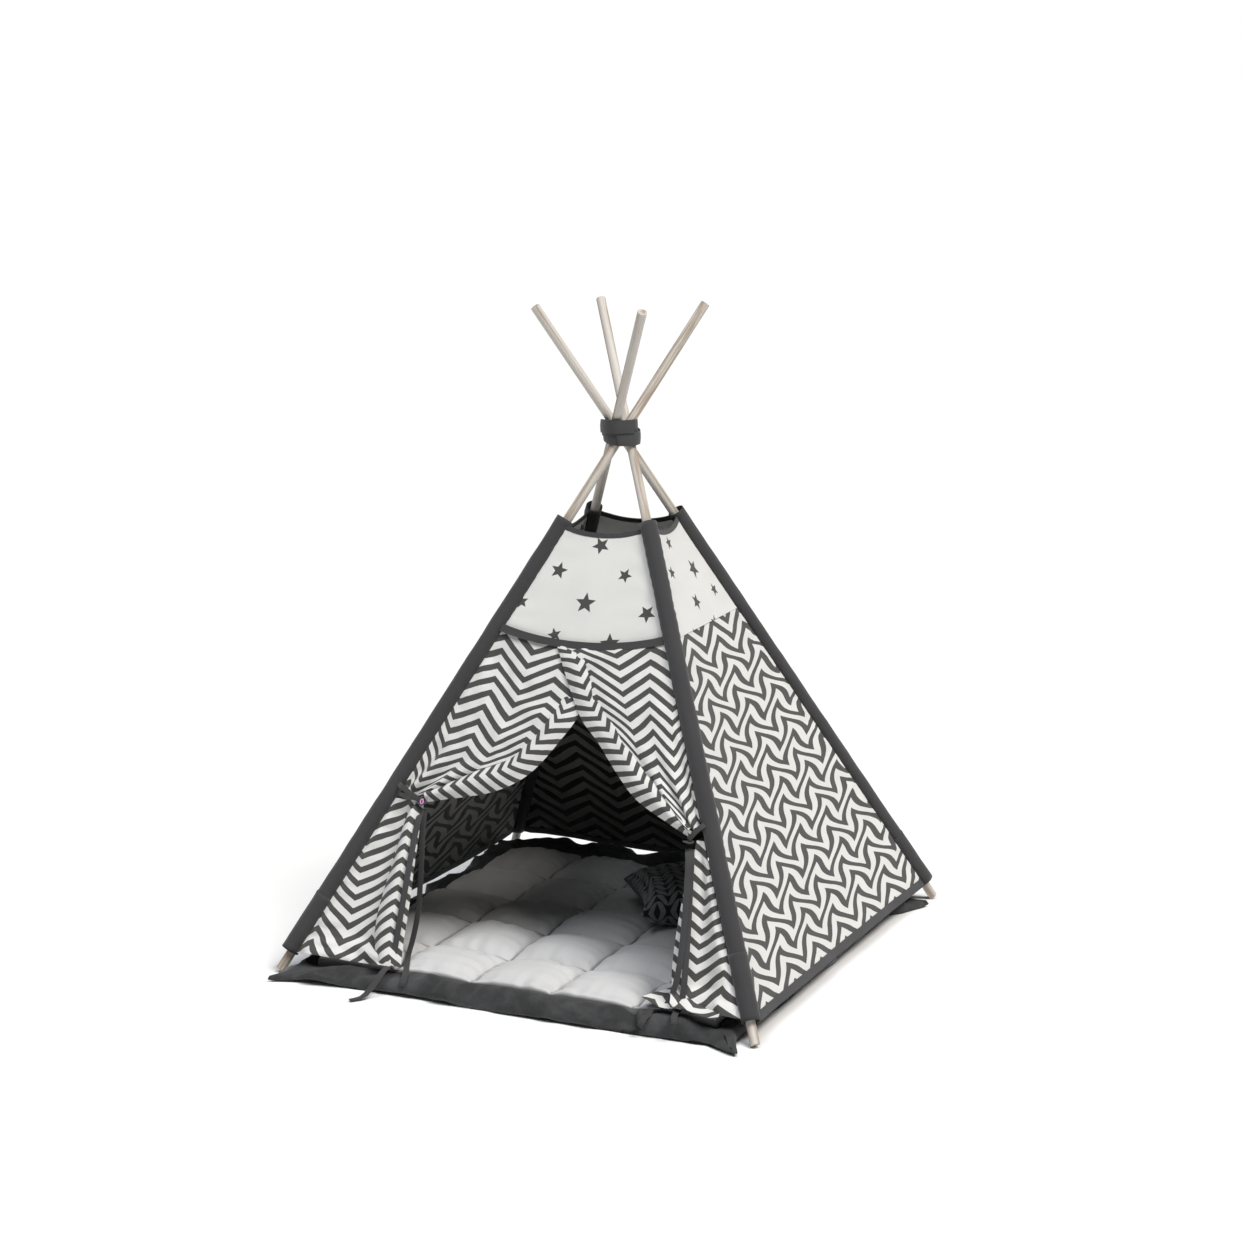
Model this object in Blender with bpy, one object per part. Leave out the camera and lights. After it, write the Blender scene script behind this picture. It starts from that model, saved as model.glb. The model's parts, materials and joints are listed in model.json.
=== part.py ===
# Play teepee: four crossed dowel poles lashed near the top, a sewn cotton cover with a sleeve on
# every pole, two tied-back door curtains, a quilted floor mat and a pillow.
# Metres, +Z up, origin on the floor under the lashing, the door faces -Y.
import math

import bmesh
import bpy
from mathutils import Matrix, Vector

FOOT_HALF_SPAN = 0.598      # from the middle to a pole's foot, along X and along Y
LASH_HEIGHT = 1.227         # where the poles cross
POLE_OFFSET = 0.018         # each pole passes this far beside the centre line
POLE_RADIUS = 0.011
POLE_LENGTH = 1.84
POLE_SIDES = 16

SLEEVE_HALF_WIDTH = 0.019   # across the corner
SLEEVE_HALF_DEPTH = 0.0145  # out from the corner
SLEEVE_BORE = 0.0116
SLEEVE_TOP_Z = 1.026
SLEEVE_FOOT_Z = 0.048
CUFF_TOP_Z = 0.172
CUFF_THICKNESS = 0.0016

CLOTH = 0.0024              # thickness of a cover panel's solid
EDGE_OFFSET = 0.0225        # from the pole's axis to the panel's side edge
RIM_Z = (1.0044, 1.0144)
STAR_Z = (0.7864, 1.004)
WALL_Z = (0.0594, 0.786)
HEM_Z = (0.046, 0.059)
RIM_SAG = 0.012
SCALLOP_SAG = 0.022
SEAM_GAP = 0.0004

STRAP_INNER = 0.0415
STRAP_OUTER = 0.0455
STRAP_HALF_HEIGHT = 0.029

MAT_HALF = 0.55
MAT_FRONT_Y = -0.634
MAT_BORDER = 0.045
MAT_RIM_Z = 0.036
MAT_BASE_Z = 0.008
QUILT_TOP_Z = 0.05

PILLOW_SIZE = (0.37, 0.31, 0.115)
PILLOW_CENTRE = (0.205, 0.04)
PILLOW_TURN = 33.0

RIBBON = 0.005              # diameter of a tie tail's solid

CORNERS = {"front_left": (-1, -1), "front_right": (1, -1), "back_right": (1, 1), "back_left": (-1, 1)}
SIDES = {
    "front": ("front_left", "front_right"),
    "right": ("front_right", "back_right"),
    "back": ("back_right", "back_left"),
    "left": ("back_left", "front_left"),
}

for old in list(bpy.data.objects):
    bpy.data.objects.remove(old, do_unlink=True)

teepee = bpy.data.collections.new("teepee")
bpy.context.scene.collection.children.link(teepee)


def material(name, colour, roughness=0.9, metallic=0.0):
    mat = bpy.data.materials.new(name)
    mat.use_nodes = True
    shader = mat.node_tree.nodes["Principled BSDF"]
    shader.inputs["Base Color"].default_value = (*colour, 1.0)
    shader.inputs["Roughness"].default_value = roughness
    shader.inputs["Metallic"].default_value = metallic
    mat.diffuse_color = (*colour, 1.0)
    return mat


DARK = (0.045, 0.045, 0.048)
WHITE = (0.72, 0.72, 0.71)
PRINT = (0.36, 0.36, 0.355)
PINE = (0.72, 0.58, 0.42)
QUILT = (0.42, 0.42, 0.43)


def add(name, data, colour, parent=None, roughness=0.9):
    thing = bpy.data.objects.new(name, data)
    teepee.objects.link(thing)
    thing.data.materials.append(material(name, colour, roughness))
    thing.parent = parent
    return thing


def solid(name, rings, colour, parent=None, caps=True):
    """Rings of equal length, stacked, make one closed body."""
    verts = [v for ring in rings for v in ring]
    n, count = len(rings[0]), len(rings)
    faces = []
    for k in range(count - 1 if caps else count):
        low, high = k * n, ((k + 1) % count) * n
        for i in range(n):
            j = (i + 1) % n
            faces.append((low + i, low + j, high + j, high + i))
    if caps:
        faces.append(tuple(range(n - 1, -1, -1)))
        faces.append(tuple(range((count - 1) * n, count * n)))
    mesh = bpy.data.meshes.new(name)
    mesh.from_pydata([tuple(v) for v in verts], [], faces)
    mesh.validate()
    outward(mesh)
    return add(name, mesh, colour, parent)


def outward(mesh):
    work = bmesh.new()
    work.from_mesh(mesh)
    twisted = [f for f in work.faces if len(f.verts) == 4]
    bmesh.ops.triangulate(work, faces=twisted)   # the panels are slightly twisted
    bmesh.ops.recalc_face_normals(work, faces=work.faces)
    if work.calc_volume(signed=True) < 0:
        bmesh.ops.reverse_faces(work, faces=work.faces)
    work.to_mesh(mesh)
    work.free()


# ---- the four legs: a pivot empty on the lashing, then pole, sleeve and cuff hang from it ----
foot_radius = FOOT_HALF_SPAN * math.sqrt(2)
swing_radius = math.sqrt(foot_radius ** 2 - POLE_OFFSET ** 2)
turn_back = math.atan2(POLE_OFFSET, swing_radius)
tilt = math.atan2(swing_radius, LASH_HEIGHT)


class Leg:
    def __init__(self, corner):
        sx, sy = CORNERS[corner]
        angle = math.atan2(sy, sx) - turn_back
        self.out = Vector((math.cos(angle), math.sin(angle), 0))
        self.side = Vector((-self.out.y, self.out.x, 0))
        self.pivot = self.side * POLE_OFFSET + Vector((0, 0, LASH_HEIGHT))
        self.empty = bpy.data.objects.new("pivot_" + corner, None)
        teepee.objects.link(self.empty)
        self.empty.location = self.pivot
        self.empty.rotation_euler = (-tilt, 0, math.atan2(self.side.y, self.side.x))

    def axis_at(self, z):
        return self.pivot + self.out * ((LASH_HEIGHT - z) * math.tan(tilt)) - Vector((0, 0, LASH_HEIGHT - z))


def oval_tube(name, z_low, z_high, outer, inner, colour, leg, sides=20):
    """A sleeve round the pole, in the pivot's own frame: local Z runs up the pole."""
    rings = []
    low, high = -(LASH_HEIGHT - z_low) / math.cos(tilt), -(LASH_HEIGHT - z_high) / math.cos(tilt)
    for half, z in ((outer, low), (outer, high), (inner, high), (inner, low)):
        rings.append([
            Vector((half[0] * math.cos(a), half[1] * math.sin(a), z))
            for a in (2 * math.pi * i / sides for i in range(sides))
        ])
    return solid(name, rings, colour, leg.empty, caps=False)


legs = {corner: Leg(corner) for corner in CORNERS}
foot_end = (LASH_HEIGHT - POLE_RADIUS * math.sin(tilt)) / math.cos(tilt)
for corner, leg in legs.items():
    bpy.ops.mesh.primitive_cylinder_add(vertices=POLE_SIDES, radius=POLE_RADIUS, depth=POLE_LENGTH)
    pole = bpy.context.object
    for held in list(pole.users_collection):
        held.objects.unlink(pole)
    teepee.objects.link(pole)
    pole.name = pole.data.name = "pole_" + corner
    pole.data.transform(Matrix.Translation((0, 0, POLE_LENGTH / 2 - foot_end)))
    pole.data.materials.append(material("pole_" + corner, PINE, 0.55))
    pole.parent = leg.empty

    wide = (SLEEVE_HALF_WIDTH, SLEEVE_HALF_DEPTH)
    oval_tube("sleeve_" + corner, SLEEVE_FOOT_Z, SLEEVE_TOP_Z, wide, (SLEEVE_BORE, SLEEVE_BORE), DARK, leg)
    clear = (wide[0] + SEAM_GAP, wide[1] + SEAM_GAP)
    thick = (clear[0] + CUFF_THICKNESS, clear[1] + CUFF_THICKNESS)
    oval_tube("sleeve_cuff_" + corner, SLEEVE_FOOT_Z + 0.001, CUFF_TOP_Z, thick, clear, DARK, leg)


# ---- the lashing strap, wound round the crossing ----
def circle(radius, z, sides=24):
    return [Vector((radius * math.cos(a), radius * math.sin(a), z))
            for a in (2 * math.pi * i / sides for i in range(sides))]


low, high = LASH_HEIGHT - STRAP_HALF_HEIGHT, LASH_HEIGHT + STRAP_HALF_HEIGHT
solid("lashing_strap", [circle(STRAP_OUTER, low), circle(STRAP_OUTER, high),
                        circle(STRAP_INNER, high), circle(STRAP_INNER, low)], DARK, caps=False)


# ---- the cover's panels ----
class Side:
    def __init__(self, name):
        self.first, self.second = (legs[c] for c in SIDES[name])
        across = self.at(0, 0.1) - self.at(1, 0.1)
        self.normal = across.cross(self.at(0.5, 0.9) - self.at(0.5, 0.1)).normalized()
        if self.normal.dot(self.at(0.5, 0.1)) < 0:
            self.normal.negate()

    def at(self, share, z):
        """A point of the cover: share 0 is the first pole's edge, share 1 the second's."""
        one = self.first.axis_at(z) + self.first.side * EDGE_OFFSET
        two = self.second.axis_at(z) - self.second.side * EDGE_OFFSET
        return one.lerp(two, share)

    def share_of_x(self, x, z):
        one, two = self.at(0, z), self.at(1, z)
        return (x - one.x) / (two.x - one.x)


def cloth(name, side, columns, colour, thickness=CLOTH, lift=0.0):
    """Columns of (share, low z, high z) across one side make a closed panel."""
    rings = []
    for share, z_low, z_high in columns:
        low_point, high_point = side.at(share, z_low), side.at(share, z_high)
        inner, outer = side.normal * (lift - thickness / 2), side.normal * (lift + thickness / 2)
        rings.append([low_point + inner, low_point + outer, high_point + outer, high_point + inner])
    return solid(name, rings, colour)


def sag(share, depth):
    return depth * 4 * share * (1 - share)


sides = {name: Side(name) for name in SIDES}
even = [i / 12 for i in range(13)]
for name, side in sides.items():
    scallop = SCALLOP_SAG if name == "front" else 0.0
    cloth("rim_binding_" + name, side,
          [(s, RIM_Z[0] - sag(s, RIM_SAG), RIM_Z[1] - sag(s, RIM_SAG)) for s in even], DARK, 0.004)
    cloth("star_panel_" + name, side,
          [(s, STAR_Z[0] - sag(s, scallop), STAR_Z[1] - sag(s, RIM_SAG)) for s in even], WHITE)
    if name == "front":
        cloth("scalloped_binding", side,
              [(s, STAR_Z[0] - 0.014 - sag(s, scallop), STAR_Z[0] - SEAM_GAP - sag(s, scallop)) for s in even],
              DARK, 0.004)
    else:
        cloth("wall_" + name, side, [(s, *WALL_Z) for s in even], PRINT)
        cloth("wall_hem_" + name, side, [(s, *HEM_Z) for s in even], DARK, 0.004)


# ---- the door curtains, gathered at the ties; each row is (z, x of the free edge) ----
LEFT_EDGE = ((0.745, 0.05), (0.617, 0.036), (0.55, 0.0), (0.486, -0.05), (0.45, -0.10), (0.426, -0.166),
             (0.41, -0.24), (0.398, -0.296), (0.385, -0.302), (0.22, -0.288), (0.058, -0.28))
RIGHT_EDGE = ((0.745, -0.05), (0.617, 0.04), (0.56, 0.10), (0.506, 0.155), (0.453, 0.218), (0.415, 0.30),
              (0.392, 0.362), (0.378, 0.372), (0.22, 0.385), (0.058, 0.40))


def curtain(name, edge, share_at_pole, lift):
    side, rings = sides["front"], []
    for z, x in edge:
        pole_z = z + 0.014 if z == edge[0][0] else z
        at_pole, free = side.at(share_at_pole, pole_z), side.at(side.share_of_x(x, z), z)
        inner, outer = side.normal * (lift - CLOTH / 2), side.normal * (lift + CLOTH / 2)
        rings.append([at_pole + inner, at_pole + outer, free + outer, free + inner])
    return solid(name, rings, PRINT)


curtain("curtain_left", LEFT_EDGE, 0.0, 0.0)
curtain("curtain_right", RIGHT_EDGE, 1.0, 0.0034)


# ---- ties: a ribbon from the sleeve round the gathered curtain, its knot, and two limp tails ----
def tube(name, points, colour):
    curve = bpy.data.curves.new(name, "CURVE")
    curve.dimensions = "3D"
    curve.bevel_depth = RIBBON / 2
    curve.bevel_resolution = 2
    curve.use_fill_caps = True
    spline = curve.splines.new("POLY")
    smooth = rounded(points)
    spline.points.add(len(smooth) - 1)
    for point, place in zip(spline.points, smooth):
        point.co = (*place, 1)
    return add(name, curve, colour)


def rounded(points, step=0.016):
    """A smooth run through the route points, with a point every step."""
    pts = [Vector(p) for p in points]
    pts = [2 * pts[0] - pts[1]] + pts + [2 * pts[-1] - pts[-2]]
    out = []
    for k in range(1, len(pts) - 2):
        a, b, c, d = pts[k - 1:k + 3]
        pieces = max(1, round((c - b).length / step))
        for i in range(pieces):
            t = i / pieces
            out.append(0.5 * (2 * b + (c - a) * t + (2 * a - 5 * b + 4 * c - d) * t * t
                              + (3 * b - a - 3 * c + d) * t ** 3))
    return out + [pts[-2]]


TIES = {
    "left": {"anchor": (-0.374, 0.425), "knot": (-0.307, 0.396)},
    "right": {"anchor": (0.386, 0.416), "knot": (0.366, 0.384)},
}
for hand, tie in TIES.items():
    side, rings = sides["front"], []
    anchor, knot = tie["anchor"], tie["knot"]
    start = side.at(side.share_of_x(*anchor), anchor[1]) + side.normal * 0.0100
    end = side.at(side.share_of_x(*knot), knot[1]) + side.normal * 0.0130
    along = (end - start).normalized()
    up = side.normal.cross(along).normalized()
    for place, half, deep in ((start, 0.006, 0.001), (start.lerp(end, 0.8), 0.006, 0.001),
                              (start.lerp(end, 0.92), 0.0085, 0.0035), (end, 0.0095, 0.0042),
                              (end + along * 0.009, 0.006, 0.0028)):
        rings.append([place + up * half + side.normal * deep, place - up * half + side.normal * deep,
                      place - up * half - side.normal * deep, place + up * half - side.normal * deep])
    solid("tie_ribbon_" + hand, rings, DARK)

TAILS = {
    "tie_tail_left_inner": ((-0.304, -0.4195, 0.381), (-0.303, -0.431, 0.34), (-0.298, -0.452, 0.24),
                            (-0.297, -0.47, 0.15), (-0.302, -0.487, 0.09), (-0.300, -0.512, 0.0600),
                            (-0.276, -0.562, 0.0565), (-0.258, -0.600, 0.047), (-0.250, -0.622, 0.043),
                            (-0.246, -0.639, 0.031)),
    "tie_tail_left_outer": ((-0.3125, -0.4195, 0.381), (-0.318, -0.433, 0.34), (-0.326, -0.458, 0.24),
                            (-0.332, -0.482, 0.15), (-0.334, -0.503, 0.09), (-0.332, -0.534, 0.0600),
                            (-0.322, -0.575, 0.0565), (-0.315, -0.615, 0.046), (-0.316, -0.646, 0.028),
                            (-0.325, -0.676, 0.008), (-0.344, -0.705, 0.0045)),
    "tie_tail_right_inner": ((0.363, -0.4265, 0.369), (0.363, -0.431, 0.33), (0.357, -0.436, 0.24),
                             (0.347, -0.443, 0.15), (0.336, -0.454, 0.09), (0.326, -0.476, 0.0600),
                             (0.322, -0.520, 0.0565), (0.335, -0.563, 0.0565), (0.345, -0.600, 0.0465),
                             (0.346, -0.622, 0.043), (0.344, -0.642, 0.030)),
    "tie_tail_right_outer": ((0.371, -0.4265, 0.369), (0.372, -0.434, 0.33), (0.371, -0.445, 0.24),
                             (0.369, -0.458, 0.15), (0.369, -0.472, 0.09), (0.371, -0.496, 0.0600),
                             (0.384, -0.545, 0.0565), (0.400, -0.587, 0.054), (0.408, -0.606, 0.049)),
}
for name, route in TAILS.items():
    tube(name, route, DARK)


# ---- the mat: a dark cover turned up round the edge, and the quilted pad in it ----
def rounded_square(half_x, half_y, z, centre_y, corner):
    points = []
    for sx, sy, start in ((1, 1, 0), (-1, 1, 90), (-1, -1, 180), (1, -1, 270)):
        for k in range(3):
            a = math.radians(start + 45 * k)
            points.append(Vector((sx * (half_x - corner) + corner * math.cos(a),
                                  centre_y + sy * (half_y - corner) + corner * math.sin(a), z)))
    return points


mat_y = MAT_FRONT_Y + MAT_HALF
inner = MAT_HALF - MAT_BORDER
solid("mat_cover", [
    rounded_square(MAT_HALF, MAT_HALF, 0, mat_y, 0.012),
    rounded_square(MAT_HALF - 0.014, MAT_HALF - 0.014, MAT_RIM_Z, mat_y, 0.012),
    rounded_square(inner, inner, MAT_RIM_Z, mat_y, 0.012),
    rounded_square(inner, inner, MAT_BASE_Z, mat_y, 0.012),
], DARK)
solid("mat_quilt", [
    rounded_square(inner - SEAM_GAP, inner - SEAM_GAP, MAT_BASE_Z + SEAM_GAP, mat_y, 0.012),
    rounded_square(inner - SEAM_GAP, inner - SEAM_GAP, QUILT_TOP_Z - 0.009, mat_y, 0.012),
    rounded_square(inner - 0.014, inner - 0.014, QUILT_TOP_Z, mat_y, 0.012),
], QUILT)


# ---- the pillow ----
width, depth, height = PILLOW_SIZE
rings = []
for grow, z in ((0.80, 0.0), (0.95, 0.022), (1.0, height * 0.5), (0.95, height - 0.022), (0.78, height)):
    rings.append([Vector((sx * width / 2 * grow, sy * depth / 2 * grow, z))
                  for sx, sy in ((1, 1), (-1, 1), (-1, -1), (1, -1))])
pillow = solid("pillow", rings, (0.05, 0.05, 0.055))
pillow.location = (*PILLOW_CENTRE, QUILT_TOP_Z + 0.0006)
pillow.rotation_euler = (0, 0, math.radians(PILLOW_TURN))

print("teepee built:", len([o for o in teepee.objects if o.type != "EMPTY"]), "pieces")
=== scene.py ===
import json
import math

import bmesh
import bpy
from mathutils.bvhtree import BVHTree
from mathutils import Matrix, Vector, noise

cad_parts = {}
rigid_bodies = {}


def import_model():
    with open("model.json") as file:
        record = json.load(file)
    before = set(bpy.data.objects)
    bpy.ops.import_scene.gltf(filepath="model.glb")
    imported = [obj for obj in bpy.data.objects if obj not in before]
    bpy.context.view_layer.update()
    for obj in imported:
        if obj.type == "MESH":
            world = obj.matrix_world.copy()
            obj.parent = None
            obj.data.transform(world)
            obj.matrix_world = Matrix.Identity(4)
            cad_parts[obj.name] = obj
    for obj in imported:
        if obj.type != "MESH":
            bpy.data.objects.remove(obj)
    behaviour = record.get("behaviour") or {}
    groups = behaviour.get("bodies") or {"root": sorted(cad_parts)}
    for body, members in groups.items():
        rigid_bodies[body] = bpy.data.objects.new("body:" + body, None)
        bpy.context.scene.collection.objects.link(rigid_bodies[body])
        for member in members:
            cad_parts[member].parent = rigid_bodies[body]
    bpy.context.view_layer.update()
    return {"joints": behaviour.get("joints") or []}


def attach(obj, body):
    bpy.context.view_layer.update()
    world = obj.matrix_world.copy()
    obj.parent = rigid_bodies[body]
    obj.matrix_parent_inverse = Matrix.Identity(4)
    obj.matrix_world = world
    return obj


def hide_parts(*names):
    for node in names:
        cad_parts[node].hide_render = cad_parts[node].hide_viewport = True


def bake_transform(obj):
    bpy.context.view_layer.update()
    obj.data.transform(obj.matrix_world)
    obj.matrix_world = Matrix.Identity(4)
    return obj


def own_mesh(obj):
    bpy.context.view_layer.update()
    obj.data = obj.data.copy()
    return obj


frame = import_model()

print("frame loaded")

# the few sizes that the rest is worked out from, in metres
tent = {
    "footHalfSpan": 0.598,
    "poleRadius": 0.011,
    "poleLength": 1.84,
    "edgeOffset": 0.0225,      # from a pole's axis to the side of a panel
    "clothInset": 0.014,       # how far inside the poles the cloth runs
    "sleeveWide": 0.0200,
    "sleeveDeep": 0.0195,
    "sleeveShift": 0.006,      # the sleeves stand a little proud, outside the cloth
    "sleeveTop": 1.026,
    "sleeveFoot": 0.048,
    "cuffTop": 0.172,
    "rimSag": 0.012,
    "scallopSag": 0.022,
    "cloth": 0.0013,
}
corners = {"front_left": (-1, -1), "front_right": (1, -1), "back_right": (1, 1), "back_left": (-1, 1)}
sideCorners = {
    "front": ("front_left", "front_right"), "right": ("front_right", "back_right"),
    "back": ("back_right", "back_left"), "left": ("back_left", "front_left"),
}


# the camera stands low and to the right of the door
view = {"azimuth": 25.03, "elevation": 11.31, "distance": 6.355, "lens": 77.63, "aim": (0.0004, 0.0, 0.774)}


def placeCamera():
    a, e = math.radians(view["azimuth"]), math.radians(view["elevation"])
    back = Vector((math.sin(a) * math.cos(e), -math.cos(a) * math.cos(e), math.sin(e)))
    camera = bpy.data.objects.new("camera", bpy.data.cameras.new("camera"))
    bpy.context.scene.collection.objects.link(camera)
    camera.location = Vector(view["aim"]) + back * view["distance"]
    camera.rotation_euler = back.to_track_quat("Z", "Y").to_euler()
    camera.data.lens = view["lens"]
    camera.data.sensor_width = 36
    bpy.context.scene.camera = camera


def wideSun(name, azimuth, elevation, strength, spread, colour):
    sun = bpy.data.objects.new(name, bpy.data.lights.new(name, "SUN"))
    bpy.context.scene.collection.objects.link(sun)
    a, e = math.radians(azimuth), math.radians(elevation)
    toSun = Vector((math.sin(a) * math.cos(e), -math.cos(a) * math.cos(e), math.sin(e)))
    sun.rotation_euler = toSun.to_track_quat("Z", "Y").to_euler()
    sun.data.energy, sun.data.angle, sun.data.color = strength, math.radians(spread), colour


def whiteRoom():
    world = bpy.data.worlds.new("white room")
    bpy.context.scene.world = world
    world.use_nodes = True
    nodes, links = world.node_tree.nodes, world.node_tree.links
    dim = nodes["Background"]
    dim.inputs[0].default_value = (0.93, 0.96, 1.0, 1)
    dim.inputs[1].default_value = light["room"]
    bright = nodes.new("ShaderNodeBackground")
    bright.inputs[0].default_value = (1, 1, 1, 1)
    mix, rays = nodes.new("ShaderNodeMixShader"), nodes.new("ShaderNodeLightPath")
    links.new(rays.outputs["Is Camera Ray"], mix.inputs[0])
    links.new(dim.outputs[0], mix.inputs[1])
    links.new(bright.outputs[0], mix.inputs[2])
    links.new(mix.outputs[0], nodes["World Output"].inputs[0])


light = {"room": 0.055}
placeCamera()
whiteRoom()
wideSun("window on the right", 76, 57, 2.85, 26, (1.0, 0.968, 0.92))
wideSun("soft light in front", -4, 70, 1.6, 34, (0.92, 0.955, 1.0))
bpy.context.scene.view_settings.view_transform = "Standard"
bpy.ops.mesh.primitive_plane_add(size=120, location=(0, 0, -0.0005))
floor = bpy.context.object
floor.name = "floor"


# shader maths: a value adds its own nodes when it is added, multiplied and so on
class Value:
    def __init__(self, paint, socket):
        self.paint, self.socket = paint, socket

    def __add__(self, other):
        return self.paint.sum("ADD", self, other)

    def __sub__(self, other):
        return self.paint.sum("SUBTRACT", self, other)

    def __rsub__(self, other):
        return self.paint.sum("SUBTRACT", other, self)

    def __mul__(self, other):
        return self.paint.sum("MULTIPLY", self, other)

    def __truediv__(self, other):
        return self.paint.sum("DIVIDE", self, other)

    def __mod__(self, other):
        return self.paint.sum("FLOORED_MODULO", self, other)

    def __lt__(self, other):
        return self.paint.sum("LESS_THAN", self, other)

    def __gt__(self, other):
        return self.paint.sum("GREATER_THAN", self, other)

    def __abs__(self):
        return self.paint.sum("ABSOLUTE", self)

    __radd__ = __add__
    __rmul__ = __mul__


class Paint:
    def __init__(self, name):
        self.material = bpy.data.materials.new(name)
        self.material.use_nodes = True
        self.nodes, self.links = self.material.node_tree.nodes, self.material.node_tree.links
        self.nodes.clear()
        self.shader = self.nodes.new("ShaderNodeBsdfPrincipled")
        self.links.new(self.shader.outputs[0], self.nodes.new("ShaderNodeOutputMaterial").inputs[0])

    def node(self, kind, settings=None, **values):
        made = self.nodes.new("ShaderNode" + kind)
        for key, value in (settings or {}).items():
            setattr(made, key, value)
        for key, value in values.items():
            numbered = key[0] == "i" and key[1:].isdigit()
            self.feed(made.inputs[int(key[1:]) if numbered else key], value)
        return made

    def feed(self, socket, value):
        if isinstance(value, Value):
            self.links.new(value.socket, socket)
        elif isinstance(value, (tuple, list)) and len(value) == 3 and socket.type == "RGBA":
            socket.default_value = (*value, 1)
        else:
            socket.default_value = value

    def out(self, made, name=0):
        return Value(self, made.outputs[name])

    def sum(self, operation, *parts):
        return self.out(self.node("Math", {"operation": operation},
                                  **{f"i{k}": part for k, part in enumerate(parts)}))

    def uv(self, name="cloth"):
        split = self.node("SeparateXYZ", i0=self.out(self.node("UVMap", {"uv_map": name})))
        return self.out(split, 0), self.out(split, 1)

    def place(self):
        return self.out(self.node("TexCoord"), "Object")

    def point(self, x, y, z=0.0):
        return self.out(self.node("CombineXYZ", i0=x, i1=y, i2=z))

    def cloud(self, at, scale, detail=3.0, rough=0.55):
        return self.out(self.node("TexNoise", Vector=at, Scale=scale, Detail=detail, Roughness=rough), 0)

    def blend(self, amount, first, second):
        made = self.node("Mix", {"data_type": "RGBA"}, i0=amount, i6=first, i7=second)
        return self.out(made, 2)

    def bump(self, height, strength, distance=0.001):
        return self.out(self.node("Bump", Height=height, Strength=strength, Distance=distance))

    def finish(self, colour, roughness, normal=None, sheen=0.0, metallic=0.0):
        self.feed(self.shader.inputs["Base Color"], colour)
        self.feed(self.shader.inputs["Roughness"], roughness)
        self.shader.inputs["Metallic"].default_value = metallic
        self.shader.inputs["Specular IOR Level"].default_value = 0.3
        if sheen:
            self.shader.inputs["Sheen Weight"].default_value = sheen
            self.shader.inputs["Sheen Roughness"].default_value = 0.5
        if normal:
            self.feed(self.shader.inputs["Normal"], normal)
        return self.material


inks = {
    "white": (0.67, 0.67, 0.655),
    "dark": (0.058, 0.057, 0.056),
    "canvas": (0.040, 0.040, 0.0425),
    "tape": (0.040, 0.040, 0.042),
}


def weave(paint, u, v, thread=0.0011):
    across = paint.sum("SINE", u * (6.2832 / thread))
    along = paint.sum("SINE", v * (6.2832 / thread))
    return across * along


def cottonCloth(paint, u, v, ink, mask, dim=1.0):
    at = paint.point(u, v)
    fibres = paint.cloud(at, 900, 2)
    tone = paint.cloud(at, 9, 3)
    # dim scales the cloth's colours: below 1 it is painted shade, above 1 painted light
    white = paint.blend(tone, tuple(c * 0.93 * dim for c in inks["white"]),
                        tuple(c * 1.06 * dim for c in inks["white"]))
    inked = paint.blend(fibres, tuple(c * 0.75 * dim for c in ink), tuple(c * 1.35 * dim for c in ink))
    height = weave(paint, u, v) * 0.3 + fibres * 0.6 + paint.cloud(at, 60, 4) * 0.8
    colour = paint.blend(mask, white, inked)
    return paint.finish(colour, 0.93 - mask * 0.06, paint.bump(height, 0.35, 0.0006), 0.15)


def zigzagPrint(name, look):
    paint = Paint(name)
    u, v = paint.uv()
    wobble = paint.cloud(paint.point(u, v), 30, 2) * 0.003
    low, high = look["rippleFrom"], look["rippleTo"]
    onset = paint.sum("MINIMUM", (v - low) / 0.07, (high - v) / 0.07)
    onset = paint.sum("MAXIMUM", paint.sum("MINIMUM", onset, 1.0), 0.0)
    ripple = paint.sum("SINE", (v / look["rippleStep"] + u * 0.2) * 6.2832) * look["ripple"] * onset
    drift = paint.cloud(paint.point(u * 5.0, v * 5.0), 1.0, 1) * 0.018
    wave = abs(((u + ripple + drift - look["shift"]) / look["period"]) % 1.0 - 0.5) * 2.0
    run = (v + wobble - wave * look["rise"]) / look["pitch"]
    mask = (run % 1.0) < look["inkShare"]
    return cottonCloth(paint, u, v, inks["dark"], mask, look.get("dim", 1.0))


# stars stand in staggered rows, a little off their places, in three sizes that take turns
def starPlaces(look):
    tileX, tileY = look["tile"]
    for row in range(look["rows"]):
        for column in range(look["perRow"]):
            n = row * look["perRow"] + column
            x = (column + 0.5 * (row % 2)) * tileX / look["perRow"] + look["scatter"] * math.sin(2.4 * n)
            y = (row + 0.5) * tileY / look["rows"] + look["scatter"] * 0.7 * math.cos(2.4 * n)
            yield x, y, look["sizes"][(row + 2 * column) % len(look["sizes"])], (31 * n) % 72


def starPrint(name, look):
    paint = Paint(name)
    u, v = paint.uv()
    tileX, tileY = look["tile"]
    fifth = 2 * math.pi / 5
    found = None
    for x, y, radius, turn in starPlaces(look):
        dx = (u - (x - tileX / 2)) % tileX - tileX / 2
        dy = (v - (y - tileY / 2)) % tileY - tileY / 2
        angle = paint.sum("ARCTAN2", dx, dy) / fifth - math.radians(turn) / fifth
        fold = abs((angle + 0.5) % 1.0 - 0.5) * fifth
        reach = paint.sum("SQRT", dx * dx + dy * dy)
        px, py = reach * paint.sum("COSINE", fold), reach * paint.sum("SINE", fold)
        dent = look["dent"] * radius
        bx, by = dent * math.cos(fifth / 2) - radius, dent * math.sin(fifth / 2)
        inside = (py * bx - (px - radius) * by) > 0.0
        found = inside if found is None else paint.sum("MAXIMUM", found, inside)
    return cottonCloth(paint, u, v, inks["dark"], found, look.get("dim", 1.0))


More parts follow.
